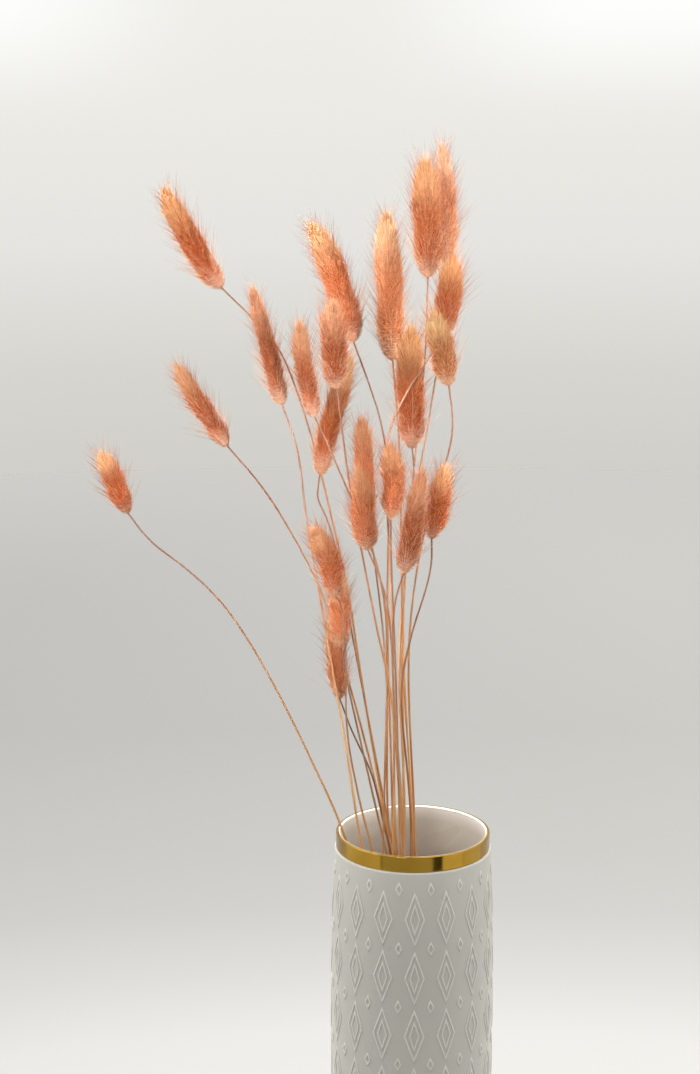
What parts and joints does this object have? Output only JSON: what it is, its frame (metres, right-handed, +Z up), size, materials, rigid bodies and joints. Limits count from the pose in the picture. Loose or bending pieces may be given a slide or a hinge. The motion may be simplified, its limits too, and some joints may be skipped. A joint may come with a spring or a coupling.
{
  "type": "bunny tail grass bunch in a vase",
  "caption": "Loose bunch of dried coral bunny tail grass, furry oval heads on thin bent stems, standing in a slim white porcelain vase with a gilded rim, for decoration.",
  "frame": {"origin": "centre of the vase's flat foot, on the surface that it stands on", "axes": "+Z up along the vase's axis, -Y is the front, +X to the right seen from the front"},
  "size_m": [0.2038, 0.1261, 0.5511],
  "materials": {
    "glazed_porcelain": "satin white glaze",
    "gold_lustre": "fired gold lustre, polished",
    "dried_stem": "dry straw, ochre below and mauve brown towards the head",
    "coral_head": "soft fine hairs, dyed coral, paler at base and tip"
  },
  "bodies": {
    "root": {"vase": "glazed_porcelain", "gilded_rim": "gold_lustre", "stem_01": "dried_stem", "stem_02": "dried_stem", "stem_03": "dried_stem", "stem_04": "dried_stem", "stem_05": "dried_stem", "stem_06": "dried_stem", "stem_07": "dried_stem", "stem_08": "dried_stem", "stem_09": "dried_stem", "stem_10": "dried_stem", "stem_11": "dried_stem", "stem_12": "dried_stem", "stem_13": "dried_stem", "stem_14": "dried_stem", "stem_15": "dried_stem", "stem_16": "dried_stem", "stem_17": "dried_stem", "stem_18": "dried_stem", "stem_19": "dried_stem", "stem_20": "dried_stem", "stem_21": "dried_stem", "stem_22": "dried_stem", "head_01": "coral_head", "head_02": "coral_head", "head_03": "coral_head", "head_04": "coral_head", "head_05": "coral_head", "head_06": "coral_head", "head_07": "coral_head", "head_08": "coral_head", "head_09": "coral_head", "head_10": "coral_head", "head_11": "coral_head", "head_12": "coral_head", "head_13": "coral_head", "head_14": "coral_head", "head_15": "coral_head", "head_16": "coral_head", "head_17": "coral_head", "head_18": "coral_head", "head_19": "coral_head", "head_20": "coral_head", "head_21": "coral_head", "head_22": "coral_head"}
  },
  "joints": []
}
